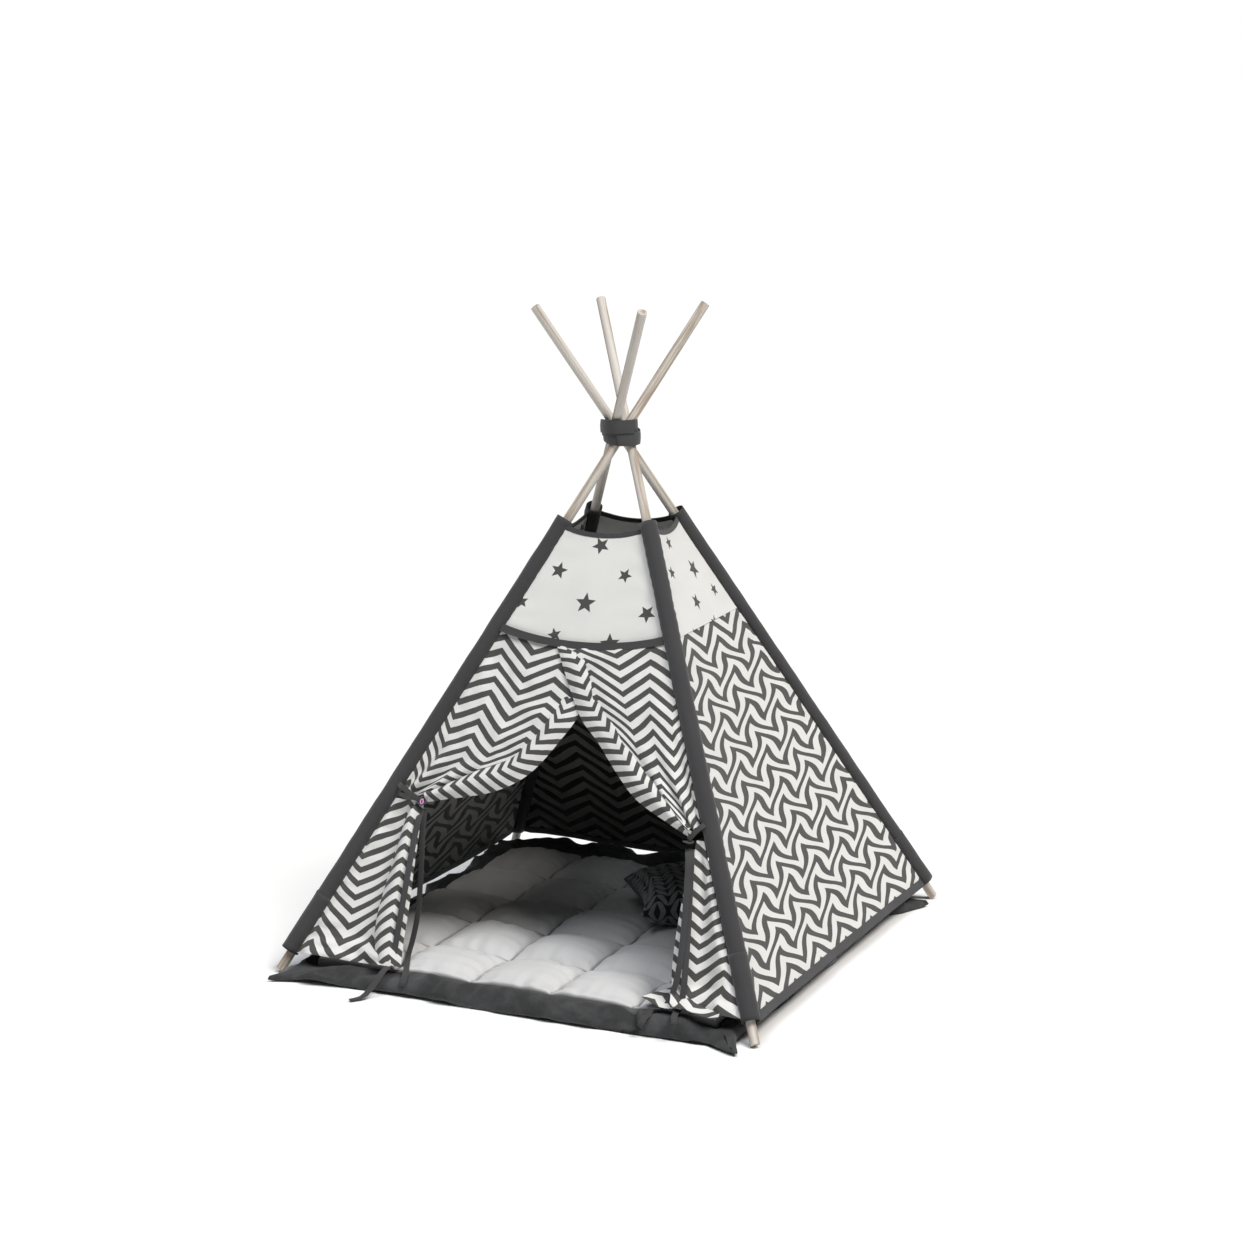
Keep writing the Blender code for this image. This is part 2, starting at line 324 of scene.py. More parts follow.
def plainCanvas(name, colour, roughness=0.9, creases=0.0):
    paint = Paint(name)
    at = paint.place()
    tone, fibres = paint.cloud(at, 7, 4), paint.cloud(at, 700, 2)
    shade = paint.blend(tone * 0.6 + fibres * 0.4, tuple(c * 0.72 for c in colour),
                        tuple(c * 1.32 for c in colour))
    height = fibres * 0.7 + paint.cloud(at, 55, 4) * 0.9
    if creases:
        folds = paint.sum("ABSOLUTE", paint.cloud(at, 16, 4) - 0.5) * -creases
        height = height + folds
        # painted highlights and painted shade: patches of the canvas are painted lighter and darker, standing
        # in for light on its wrinkles
        paintedWrinkleLight = paint.sum("MULTIPLY", (paint.cloud(at, 13, 4) - 0.42) * 4.0, 1.0)
        paintedWrinkleLight = paint.sum("MINIMUM", paint.sum("MAXIMUM", paintedWrinkleLight, 0.0), 1.0)
        shade = paint.blend(paintedWrinkleLight, tuple(c * 0.6 for c in colour), tuple(c * 1.45 for c in colour))
    return paint.finish(shade, roughness, paint.bump(height, 0.5 if creases else 0.3, 0.0008), 0.2)


def pineWood(name, seed):
    paint = Paint(name)
    u, v = paint.uv("grain")
    at = paint.point(u * 46.0 + seed * 3.7, v * 2.1 + seed, 0.0)
    streaks = paint.cloud(at, 1.0, 5, 0.6)
    fine = paint.cloud(paint.point(u * 190.0 + seed, v * 6.0), 1.0, 4, 0.6)
    rings = paint.sum("SINE", (streaks * 6.0 + u * 40.0) * 3.0) * 0.5 + 0.5
    pale = paint.blend(streaks, (0.70, 0.675, 0.635), (0.50, 0.465, 0.42))
    brown = paint.sum("POWER", rings, 4.0) * 0.62 + paint.sum("POWER", fine, 4.0) * 1.7
    colour = paint.blend(brown, pale, (0.27, 0.19, 0.12))
    return paint.finish(colour, 0.55 + fine * 0.15, paint.bump(rings * 0.3 + fine, 0.25, 0.0004))


floorPaint = Paint("white floor")
floor.data.materials.append(floorPaint.finish(
    floorPaint.blend(floorPaint.cloud(floorPaint.place(), 0.8), (0.86, 0.86, 0.86), (0.88, 0.88, 0.88)), 0.9))
curtainLook = {"pitch": 0.0322, "period": 0.165, "rise": 0.047, "inkShare": 0.47, "shift": 0.0,
               "ripple": 0.0, "rippleStep": 0.1, "rippleFrom": 0.0, "rippleTo": 1.0}
wallLook = {"pitch": 0.0405, "period": 0.170, "rise": 0.055, "inkShare": 0.47, "shift": 0.048,
            "ripple": 0.0215, "rippleStep": 0.098, "rippleFrom": 0.075, "rippleTo": 0.84}
backLook = dict(wallLook, ripple=0.004, shift=0.0)
starLook = {"tile": (0.44, 0.30), "rows": 4, "perRow": 3, "sizes": (0.026, 0.018, 0.022), "scatter": 0.012,
            "dent": 0.44}
curtainCloth = zigzagPrint("zigzag cotton of the door", curtainLook)
wallCloth = zigzagPrint("rippled zigzag cotton", wallLook)
backCloth = zigzagPrint("zigzag cotton of the back", backLook)
starCloth = starPrint("star cotton", starLook)
# the reverse of the cloth takes less light: its print is painted greyer as painted shade on the wall and back
# reverses, and painted lighter as painted light on the star reverse
wallReverseShadePainted = zigzagPrint("reverse of the rippled cotton", dict(wallLook, dim=0.55))
backReverseShadePainted = zigzagPrint("reverse of the back cotton", dict(backLook, dim=0.30))
starReverseLightPainted = starPrint("reverse of the star cotton", dict(starLook, dim=1.3))
darkCanvas = plainCanvas("dark canvas", inks["canvas"])
darkTape = plainCanvas("dark tape", inks["tape"], 0.8)
print("materials made")


footRadius = tent["footHalfSpan"] * math.sqrt(2)


def smooth(t):
    t = min(1.0, max(0.0, t))
    return t * t * (3 - 2 * t)


class Leg:
    def __init__(self, corner):
        joint = next(j for j in frame["joints"] if j["name"] == "fold_" + corner)
        self.name, self.body = corner, "leg_" + corner
        self.pivot, self.side = Vector(joint["pos_m"]), Vector(joint["axis"])
        self.out = self.side.cross(Vector((0, 0, 1)))
        self.height = self.pivot.z
        offset = (self.pivot - Vector((0, 0, self.height))).length
        self.tilt = math.atan2(math.sqrt(footRadius ** 2 - offset ** 2), self.height)
        self.up = self.out * -math.sin(self.tilt) + Vector((0, 0, math.cos(self.tilt)))
        self.outward = self.side.cross(self.up)
        if self.outward.dot(self.out) < 0:
            self.outward.negate()

    def axisAt(self, z):
        drop = self.height - z
        return self.pivot + self.out * (drop * math.tan(self.tilt)) - Vector((0, 0, drop))

    def along(self, distance):
        return self.pivot + self.up * distance


legs = {corner: Leg(corner) for corner in corners}


class Side:
    def __init__(self, name):
        self.name = name
        self.first, self.second = (legs[c] for c in sideCorners[name])
        across = self.at(1, 0.1) - self.at(0, 0.1)
        self.normal = across.cross(self.at(0.5, 0.9) - self.at(0.5, 0.1)).normalized()
        if self.normal.dot(self.at(0.5, 0.1)) < 0:
            self.normal.negate()
        self.along = across.normalized()

    def at(self, share, z):
        inset = tent["clothInset"] * smooth((1.15 - z) / 0.2)
        one = self.first.axisAt(z) + self.first.side * tent["edgeOffset"] - self.first.out * inset
        two = self.second.axisAt(z) - self.second.side * tent["edgeOffset"] - self.second.out * inset
        return one.lerp(two, share)

    def shareOf(self, point):
        one, two = self.at(0, point.z), self.at(1, point.z)
        return (point - one).dot(two - one) / (two - one).length_squared

    def cut(self, point):
        mid = self.at(0.5, 0.0)
        rise = point.z / math.sqrt(1 - self.normal.z ** 2)
        return (point - mid).dot(self.along), rise


sides = {name: Side(name) for name in sideCorners}


def meshPiece(name, verts, faces, material, uvs=None):
    mesh = bpy.data.meshes.new(name)
    mesh.from_pydata([tuple(v) for v in verts], [], faces)
    piece = bpy.data.objects.new(name, mesh)
    bpy.context.scene.collection.objects.link(piece)
    mesh.materials.append(material)
    if uvs is not None:
        layer = mesh.uv_layers.new(name="cloth")
        for loop in mesh.loops:
            layer.data[loop.index].uv = uvs[loop.vertex_index]
    mesh.polygons.foreach_set("use_smooth", [True] * len(mesh.polygons))
    return piece


def gridFaces(rows, cols, closed=False):
    faces = []
    for r in range(rows - 1):
        for c in range(cols if closed else cols - 1):
            d = (c + 1) % cols
            faces.append((r * cols + c, r * cols + d, (r + 1) * cols + d, (r + 1) * cols + c))
    return faces


def thicken(piece, thickness, reverse=None):
    solid = piece.modifiers.new("thickness", "SOLIDIFY")
    if reverse:
        piece.data.materials.append(reverse)
        solid.material_offset = 1
    solid.thickness = thickness
    solid.offset = 0
    solid.use_even_offset = False
    applyAll(piece, 50)


def applyAll(piece, crease=None):
    bpy.ops.object.select_all(action="DESELECT")
    bpy.context.view_layer.objects.active = piece
    piece.select_set(True)
    for modifier in list(piece.modifiers):
        bpy.ops.object.modifier_apply(modifier=modifier.name)
    if crease:
        bpy.ops.object.shade_smooth_by_angle(angle=math.radians(crease))
    piece.select_set(False)


# each vertex of the cloth gets a share of its leg, the leg's near a sleeve and the cover's at the middle of a
# side; the shares are worked out but not put to use
def followLeg(piece, leg, weightAt):
    tuple(leg.axisAt(0.1))
    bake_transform(piece)
    weights = [weightAt(v.co) for v in piece.data.vertices]


def legShare(side, point, leg):
    share = side.shareOf(point)
    if leg is side.second:
        share = 1 - share
    return smooth(1 - 2 * share)


# a pole is a turned dowel with softened ends
poleLook = {"sides": 40, "chamfer": 0.0012}


def makePole(leg, seed):
    name = "pole_" + leg.name
    bpy.ops.object.select_all(action="DESELECT")
    length = tent["poleLength"]
    foot = (leg.height - tent["poleRadius"] * math.sin(leg.tilt)) / math.cos(leg.tilt)
    bpy.ops.mesh.primitive_cylinder_add(vertices=poleLook["sides"], radius=tent["poleRadius"], depth=length)
    pole = bpy.context.object
    pole.name = pole.data.name = "dowel_" + leg.name
    bpy.ops.object.mode_set(mode="EDIT")
    bpy.ops.mesh.select_all(action="DESELECT")
    bpy.ops.mesh.select_mode(type="EDGE")
    bpy.ops.object.mode_set(mode="OBJECT")
    for edge in pole.data.edges:
        low, high = (pole.data.vertices[n].co.z for n in edge.vertices)
        edge.select = abs(low - high) < 0.01
    bpy.ops.object.mode_set(mode="EDIT")
    bpy.ops.mesh.bevel(offset=poleLook["chamfer"], segments=3, affect="EDGES")
    bpy.ops.object.mode_set(mode="OBJECT")
    layer = pole.data.uv_layers.new(name="grain")
    for loop in pole.data.loops:
        co = pole.data.vertices[loop.vertex_index].co
        layer.data[loop.index].uv = (math.atan2(co.y, co.x) * tent["poleRadius"], co.z)
    for face in pole.data.polygons:      # close the grain's seam, and let the ends show it cut across
        spread = [layer.data[i].uv.x for i in face.loop_indices]
        if abs(face.normal.z) > 0.9:
            for i in face.loop_indices:
                co = pole.data.vertices[pole.data.loops[i].vertex_index].co
                layer.data[i].uv = (co.x, co.y * 30)
        elif max(spread) - min(spread) > tent["poleRadius"] * 3:
            for i in face.loop_indices:
                if layer.data[i].uv.x < 0:
                    layer.data[i].uv.x += 2 * math.pi * tent["poleRadius"]
    turn = Matrix((leg.side, leg.up.cross(leg.side), leg.up)).transposed().to_4x4()
    pole.data.transform(Matrix.Translation(leg.pivot) @ turn @ Matrix.Translation((0, 0, length / 2 - foot)))
    bpy.ops.object.shade_smooth_by_angle(angle=math.radians(35))
    pole.data.materials.clear()
    pole.data.materials.append(pineWood("pine " + leg.name.replace("_", " "), seed))
    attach(pole, leg.body)
    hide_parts(name)


for seed, leg in enumerate(legs.values()):
    makePole(leg, seed + 1)
print("poles made")


sleeveLook = {"around": 40, "pucker": 0.0009}


def sleeveTube(name, leg, zLow, zHigh, wide, deep, wall, seed, flare=0.0):
    low, high = -(leg.height - zLow) / math.cos(leg.tilt), -(leg.height - zHigh) / math.cos(leg.tilt)
    rows = max(8, round((high - low) / 0.011))
    around = sleeveLook["around"]
    verts, uvs = [], []
    for r in range(rows + 1):
        t = r / rows
        d = low + (high - low) * t
        for k in range(around):
            a = 2 * math.pi * k / around
            c, s = math.cos(a), math.sin(a)
            edge = abs(c) ** 3
            ripple = noise.noise(Vector((d * 24 + seed * 9, c * 1.3, s * 1.3))) * 0.0011
            drift = 2 * noise.noise(Vector((d * 9, seed, 0)))
            ripple += edge * sleeveLook["pucker"] * math.sin(d * 330 + seed + drift)
            grow = 1 + flare * (smooth(1 - t / 0.04) + smooth((t - 0.97) / 0.03))
            radial = leg.side * (c * (wide * grow + ripple)) + leg.outward * (s * (deep * grow + ripple))
            verts.append(leg.along(d) + leg.outward * tent["sleeveShift"] + radial)
            uvs.append((a * wide, d))
    piece = meshPiece(name, verts, gridFaces(rows + 1, around, True), darkCanvas, uvs)
    fixOutward(piece, leg)
    solid = piece.modifiers.new("wall", "SOLIDIFY")
    solid.thickness, solid.offset = wall, -1
    applyAll(piece)
    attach(piece, leg.body)
    return piece


def fixOutward(piece, leg):
    face = piece.data.polygons[len(piece.data.polygons) // 2]
    onAxis = leg.along((face.center - leg.pivot).dot(leg.up)) + leg.outward * tent["sleeveShift"]
    if face.normal.dot(face.center - onAxis) < 0:
        piece.data.flip_normals()


for seed, leg in enumerate(legs.values()):
    tube = sleeveTube("pole_sleeve_" + leg.name, leg, tent["sleeveFoot"], tent["sleeveTop"],
                      tent["sleeveWide"], tent["sleeveDeep"], 0.0011, seed, 0.03)
    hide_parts("sleeve_" + leg.name)
    cuff = sleeveTube("pole_cuff_" + leg.name, leg, tent["sleeveFoot"] - 0.001, tent["cuffTop"],
                      tent["sleeveWide"] + 0.0016, tent["sleeveDeep"] + 0.0016, 0.0012, seed + 11, 0.03)
    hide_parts("sleeve_cuff_" + leg.name)
print("sleeves made")


# the cover's panels are each in two halves that meet at its middle
def panelRelief(side, share, z):
    toEdge = min(share, 1 - share)
    width = (side.at(1, z) - side.at(0, z)).length
    d = toEdge * width
    across = (share - 0.5) * width
    seed = {"front": 1.0, "right": 5.2, "back": 9.1, "left": 13.7}[side.name]
    hand = 3.0 if share > 0.5 else 0.0
    wave = noise.noise(Vector((seed + hand, z * 9.0, 0.3)))
    pucker = 0.0030 * math.exp(-d / 0.040) * math.sin(2 * math.pi * z / 0.052 + 5 * wave) * smooth(d / 0.008)
    belly = -0.010 * math.sin(math.pi * share) * smooth((1.0 - z) / 0.5)
    roll = 0.0060 * noise.noise(Vector((across * 3.0, z * 2.2, seed)))
    tension = 0.0022 * math.sin((across + 0.45 * z) * 34 + seed)
    tension *= noise.noise(Vector((across * 4, z * 3, seed + 4)))
    return pucker + belly + (roll + tension) * smooth(d / 0.06)


def panelHalves(kind, side, zLow, zHigh, material, thickness=None, rowSize=0.010, dropLow=0.0, dropHigh=0.0,
                relief=1.0, lift=0.0, slideU=0.0, reverse=None):
    for hand, leg in (("a", side.first), ("b", side.second)):
        width = (side.at(1, zLow) - side.at(0, zLow)).length
        cols = max(8, round(width / 2 / 0.011))
        rows = max(2, round((zHigh - zLow) / rowSize))
        verts, uvs = [], []
        for r in range(rows + 1):
            for c in range(cols + 1):
                t = c / cols
                level = zLow + (zHigh - zLow) * r / rows
                reach = 0.0115 / (side.at(1, level) - side.at(0, level)).length
                share = (1 - t) * -reach + t * 0.5 if hand == "a" else (1 - t) * 0.5 + t * (1 + reach)
                bow = 4 * share * (1 - share)
                low, high = zLow - dropLow * bow, zHigh - dropHigh * bow
                z = low + (high - low) * r / rows
                flat = side.at(share, z)
                verts.append(flat + side.normal * (lift + relief * panelRelief(side, share, z)))
                u, v = side.cut(flat)
                uvs.append((u + slideU, v))
        piece = meshPiece(f"{kind}_{side.name}_{hand}", verts, gridFaces(rows + 1, cols + 1), material, uvs)
        if piece.data.polygons[0].normal.dot(side.normal) < 0:
            piece.data.flip_normals()
        thicken(piece, thickness or tent["cloth"], reverse)
        followLeg(piece, leg, lambda co, s=side, g=leg: legShare(s, co, g))
        yield piece


def declare(pieces, node):
    pieces = list(pieces)
    for piece in pieces:
        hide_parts(node)


for name, side in sides.items():
    shift = {"front": 0.0, "right": 0.155, "back": 0.31, "left": 0.08}[name]
    scallop = tent["scallopSag"] if name == "front" else 0.0
    declare(panelHalves("star_top", side, 0.7864, 1.004, starCloth, dropLow=scallop, dropHigh=tent["rimSag"],
                        relief=0.5, slideU=shift, reverse=starReverseLightPainted),
            "star_panel_" + name)
    declare(panelHalves("rim_tape", side, 1.0044, 1.0144, darkTape, 0.0035, 0.005, tent["rimSag"],
                        tent["rimSag"], 0.5), "rim_binding_" + name)
    if name == "front":
        declare(panelHalves("scallop_tape", side, 0.7724, 0.788, darkTape, 0.0035, 0.0045, scallop, scallop,
                            0.5, 0.0075), "scalloped_binding")
    else:
        clothPrint, reverse = (backCloth, backReverseShadePainted) if name == "back" else (wallCloth, wallReverseShadePainted)
        declare(panelHalves("wall_cloth", side, 0.0594, 0.786, clothPrint, reverse=reverse),
                "wall_" + name)
        declare(panelHalves("hem_tape", side, 0.041, 0.059, darkTape, 0.0035, 0.0065),
                "wall_hem_" + name)
print("cover made")


# cloth shown as it hangs on the front: places there are given across and up
front = sides["front"]


def onFront(x, z, lift=0.0):
    left, right = front.at(0, z), front.at(1, z)
    share = (x - left.x) / (right.x - left.x)
    return left.lerp(right, share) + front.normal * lift


def sleeveEdge(hand, z, gap=-0.0085):
    return (front.at(0, z).x + gap) if hand < 0 else (front.at(1, z).x - gap)


def curveThrough(points, count):
    points = [Vector(p) for p in points]
    dense = []
    for k in range(len(points) - 1):
        a, b = points[max(k - 1, 0)], points[k]
        c, d = points[k + 1], points[min(k + 2, len(points) - 1)]
        for step in range(24):
            t = step / 24
            dense.append(0.5 * (2 * b + (c - a) * t + (2 * a - 5 * b + 4 * c - d) * t * t
                                + (3 * b - a - 3 * c + d) * t * t * t))
    dense.append(points[-1])
    lengths = [0.0]
    for p, q in zip(dense, dense[1:]):
        lengths.append(lengths[-1] + (q - p).length)
    spaced, k = [], 0
    for n in range(count):
        want = lengths[-1] * n / (count - 1)
        while k < len(dense) - 2 and lengths[k + 1] < want:
            k += 1
        part = (want - lengths[k]) / max(lengths[k + 1] - lengths[k], 1e-9)
        spaced.append(dense[k].lerp(dense[k + 1], min(1, max(0, part))))
    return spaced, lengths[-1]


def doorWeight(co, leg):
    share = front.shareOf(co)
    if leg is front.second:
        share = 1 - share
    return smooth((1 - 2 * share) * (1 + 0.45 * smooth((0.74 - co.z) / 0.2)))


# a flat ribbon with soft edges along a route; its face looks forward where it hangs and up where it lies
ribbonLook = {"width": 0.0135, "thickness": 0.0015, "step": 0.014}


def ribbonMesh(name, route, material, width=None, thickness=None, closed=False, spin=0.0,
               facing=(0.3, -0.95, 0.1), lies=True):
    width, thickness = width or ribbonLook["width"], thickness or ribbonLook["thickness"]
    shape = [(-0.5, -0.25), (-0.5, 0.25), (-0.44, 0.5), (-0.15, 0.5), (0.15, 0.5), (0.44, 0.5),
             (0.5, 0.25), (0.5, -0.25), (0.44, -0.5), (0.15, -0.5), (-0.15, -0.5), (-0.44, -0.5)]
    verts, uvs, run = [], [], 0.0
    for k, p in enumerate(route):
        before = route[k - 1] if k or closed else p
        after = route[(k + 1) % len(route)] if k + 1 < len(route) or closed else p
        along = (after - before).normalized()
        upright = abs(along.z) ** 1.5 if lies else 1.0
        look = (Vector(facing) * upright + Vector((0, 0, 1)) * (1 - upright)).normalized()
        across = along.cross(look).normalized()
        if spin:
            across.rotate(Matrix.Rotation(spin * math.sin(k / len(route) * 3.1), 3, along))
        outwards = across.cross(along).normalized()
        run += (p - before).length if k else 0.0
        for x, y in shape:
            verts.append(p + across * (x * width) + outwards * (y * thickness))
            uvs.append((x * width, run))
    n = len(shape)
    faces = gridFaces(len(route), n, True)
    if closed:
        last = (len(route) - 1) * n
        faces += [(last + c, last + (c + 1) % n, (c + 1) % n, c) for c in range(n)]
    else:
        faces += [tuple(range(n - 1, -1, -1)), tuple(range(len(verts) - n, len(verts)))]
    piece = meshPiece(name, verts, faces, material, uvs)
    recalcOut(piece)
    return piece


def recalcOut(piece):
    work = bmesh.new()
    work.from_mesh(piece.data)
    bmesh.ops.recalc_face_normals(work, faces=work.faces)
    if work.calc_volume(signed=True) < 0:
        bmesh.ops.reverse_faces(work, faces=work.faces)
    work.to_mesh(piece.data)
    work.free()


# the short ribbons that hold each curtain to its sleeve, with their knots
ties = {
    "left": {"corner": "front_left", "anchor": (-0.384, 0.430), "knot": (-0.307, 0.395), "lift": 0.022},
    "right": {"corner": "front_right", "anchor": (0.404, 0.424), "knot": (0.366, 0.383), "lift": 0.024},
}
for hand, tie in ties.items():
    a, k, lift = tie["anchor"], tie["knot"], tie["lift"]
    loop = [onFront(a[0], a[1], 0.004), onFront(a[0] * 0.7 + k[0] * 0.3, a[1] * 0.7 + k[1] * 0.3, lift),
            onFront(a[0] * 0.35 + k[0] * 0.65, a[1] * 0.35 + k[1] * 0.65, lift + 0.002),
            onFront(*k, lift - 0.003)]
    route = curveThrough(loop, 22)[0]
    band = ribbonMesh("tie_band_" + hand, route, darkTape, 0.0125, facing=tuple(front.normal), lies=False)
    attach(band, "leg_" + tie["corner"])
    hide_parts("tie_ribbon_" + hand)
    centre = onFront(k[0], k[1] - 0.004, lift - 0.004)
    turns = []
    for n in range(26):
        angle = 2 * math.pi * n / 26
        turns.append(centre + Vector((math.cos(angle) * 0.0085, math.sin(angle) * 0.0062,
                                      math.sin(2 * angle) * 0.0012)))
    knot = ribbonMesh("tie_knot_" + hand, turns, darkTape, 0.0100, 0.0022, True, facing=(0, 0, 1))
    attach(knot, "leg_" + tie["corner"])

pinkThread = plainCanvas("pink thread", (0.62, 0.26, 0.52), 0.7)
tag = [onFront(-0.3005 + 0.0035 * math.cos(n / 18 * 6.2832),
               0.3935 + 0.005 * math.sin(n / 18 * 6.2832), 0.0255) for n in range(18)]
thread = ribbonMesh("thread_tag", tag, pinkThread, 0.003, 0.0018, True)
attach(thread, "leg_front_left")
print("ties made")


# each curtain is one cloth: the part above the tie, its turned edge, and the part that hangs below the tie
doors = {
    "left": {
        "hand": -1, "corner": "front_left", "lift": 0.0, "tie": 0.432, "top": (0.05, 0.757),
        "edge": ((0.05, 0.757), (0.036, 0.617), (0.0, 0.55), (-0.05, 0.486), (-0.10, 0.45), (-0.166, 0.426),
                 (-0.24, 0.41), (-0.298, 0.397)),
        "hang": ((-0.322, 0.398), (-0.318, 0.34), (-0.322, 0.24), (-0.322, 0.16), (-0.312, 0.10),
                 (-0.292, 0.047)),
        "fold": ((-0.306, 0.392, 0.018), (-0.303, 0.34, 0.040), (-0.297, 0.26, 0.054), (-0.290, 0.18, 0.072),
                 (-0.286, 0.11, 0.074), (-0.280, 0.050, 0.060)),
    },
    "right": {
        "hand": 1, "corner": "front_right", "lift": 0.0050, "tie": 0.424, "top": (-0.05, 0.757),
        "edge": ((-0.05, 0.757), (0.036, 0.62), (0.10, 0.56), (0.155, 0.506), (0.218, 0.453), (0.30, 0.415),
                 (0.360, 0.391)),
        "hang": ((0.380, 0.386), (0.378, 0.34), (0.374, 0.27), (0.376, 0.18), (0.384, 0.11), (0.402, 0.052)),
        "fold": None,
    },
}


def doorPart(verts, uvs, faces, rows, cols, pointAt, uvAt):
    start = len(verts)
    for r in range(rows):
        for c in range(cols):
            t, s = r / (rows - 1), c / (cols - 1)
            verts.append(pointAt(t, s))
            uvs.append(uvAt(t, s))
    faces += [tuple(start + n for n in face) for face in gridFaces(rows, cols)]


def cutHalf(z):
    return abs(front.cut(front.at(0, z))[0])


def makeDoor(which, look):
    hand, leg, base = look["hand"], legs[look["corner"]], look["lift"]
    verts, uvs, faces = [], [], []
    rows = 96
    edge = [Vector((x, z, 0)) for x, z in look["edge"]]
    edgeLine, edgeLength = curveThrough(edge, rows)
    slope = 1 / math.sqrt(1 - front.normal.z ** 2)
    poleTop, poleLow = 0.779, look["tie"]
    topShare = (look["top"][0] - front.at(0, 0.76).x) / (2 * abs(front.at(0, 0.76).x))

    def along(t):
        k = min(rows - 1, max(0, t * (rows - 1)))
        low = int(k)
        high = min(rows - 1, low + 1)
        return edgeLine[low].lerp(edgeLine[high], k - low)

    def bandWide(t):
        return 0.012 + 0.040 * smooth(t / 0.12) - 0.030 * smooth((t - 0.72) / 0.28)

    def foldAt(t, inset):
        here, ahead = along(t), along(min(1, t + 0.02)) - along(max(0, t - 0.02))
        inward = Vector((-ahead.y, ahead.x, 0)).normalized()
        if inward.x * hand < 0:
            inward.negate()
        return here + inward * inset

    def mainAt(t, s):
        z = poleTop + (poleLow - poleTop) * t
        pole = Vector((sleeveEdge(hand, z), z, 0))
        free = foldAt(t, bandWide(t) * 0.55)
        flat = pole.lerp(free, s)
        share = (flat.x - front.at(0, flat.y).x) / (2 * abs(front.at(0, flat.y).x))
        hang = 4 * share * (1 - share) - s * 4 * topShare * (1 - topShare)
        flat.y -= tent["scallopSag"] * hang * (1 - smooth(t / 0.35))
        flat.y -= 0.018 * math.sin(math.pi * s) * smooth((t - 0.25) / 0.6)
        wrap = smooth((t - 0.30) / 0.70)
        pleat = 0.0095 * wrap ** 1.5 * math.sin(6.2832 * (3.2 * s + 0.25) + 1.2 * t)
        soft = 0.007 * noise.noise(Vector((flat.x * 8, flat.y * 7, 2.0 + hand)))
        fine = 0.0030 * noise.noise(Vector((flat.x * 34, flat.y * 26, 5.0)))
        fine += 0.0045 * noise.noise(Vector((flat.x * 15, flat.y * 19, 3.0))) * smooth(t / 0.2)
        tight = smooth(s / 0.06)
        swell = 0.010 * math.sin(math.pi * min(1, s * 0.8)) * smooth(t / 0.5)
        swell += 0.004 * (hand > 0) * smooth(s / 0.4) * smooth(t / 0.06)
        pucker = 0.0022 * math.exp(-s / 0.10) * math.sin(flat.y * 120 + 3 * soft) * tight
        fold = pleat + soft * smooth(t / 0.15) + fine + swell
        return onFront(flat.x, flat.y, base + fold * tight + pucker)

    def mainUv(t, s):
        z = poleTop + (poleLow - poleTop) * t
        down = (poleTop - poleLow) * slope * t * 1.06
        edgeDown = edgeLength * t * 1.04
        outer = hand * cutHalf(z)
        inner = -hand * 0.05
        squeeze = 1 - 0.30 * smooth((t - 0.3) / 0.7)
        u = outer + (inner - outer) * s * squeeze
        return u, 0.84 - (down + (edgeDown - down) * s * s)

    doorPart(verts, uvs, faces, rows, 52, mainAt, mainUv)

    def bandAt(t, s):
        flat = foldAt(t, bandWide(t) * (1 - s))
        roll = math.sin(math.pi * min(1.0, s * 0.94 + 0.06))
        lift = 0.0030 + (0.0065 + 0.0085 * smooth((t - 0.3) / 0.5)) * roll
        lift += 0.010 * smooth(t / 0.5) * (1 - s) * 0.6
        lift += 0.0030 * noise.noise(Vector((t * 13, s * 2.2, 7.0 + hand)))
        lift *= smooth((t - 0.16) / 0.16) if hand < 0 else smooth(t / 0.12 + 0.05)
        return onFront(flat.x, flat.y, base + lift - (0.002 if hand < 0 and t < 0.2 else 0))

    doorPart(verts, uvs, faces, 110, 14, bandAt,
             lambda t, s: ((s - 0.42) * 0.095 * bandWide(t) / 0.052, 0.31 + edgeLength * t * 1.04))

    hangLine, hangLength = curveThrough([Vector((x, z, 0)) for x, z in look["hang"]], 70)

    def hangAt(t, s):
        inner = hangLine[round(t * 69)]
        z = inner.y
        outerX = sleeveEdge(hand, z)
        x = outerX + (inner.x - outerX) * s
        wide = abs(inner.x - outerX)
        loose = smooth((0.16 - z) / 0.12)
        tight = smooth(s * wide / 0.02)
        pleat = 0.008 * math.sin(6.2832 * (1.15 * s + 0.1) + 2.0 * z) * smooth(wide / 0.10)
        crumple = 0.012 * loose * noise.noise(Vector((x * 15, z * 42, 1.0 + hand)))
        crumple += 0.005 * loose * noise.noise(Vector((x * 44, z * 70, 4.0)))
        drift = 5 * noise.noise(Vector((z * 20, 0, hand)))
        pucker = 0.0035 * math.exp(-s * wide / 0.03) * math.sin(z * 150 + drift)
        z += 0.010 * loose * noise.noise(Vector((x * 24, z * 12, 9.0))) * smooth((z - 0.058) / 0.03)
        spill = 0.020 * smooth((0.105 - z) / 0.05) * smooth(s * wide / 0.05)
        belly = 0.004 * math.sin(math.pi * s)
        return onFront(x, z, base + (pleat + crumple - belly) * tight + pucker * tight + spill)

    def hangUv(t, s):
        inner = hangLine[round(t * 69)]
        outerX = sleeveEdge(hand, inner.y)
        drop = abs(inner.x - outerX) * s
        sag = 0.020 * math.sin(math.pi * s) * smooth((0.14 - inner.y) / 0.1)
        return hand * (cutHalf(inner.y) - drop * 1.16), inner.y * slope + sag

    doorPart(verts, uvs, faces, 70, 34, hangAt, hangUv)

    if look["fold"]:
        foldLine = curveThrough([Vector(p) for p in look["fold"]], 64)[0]

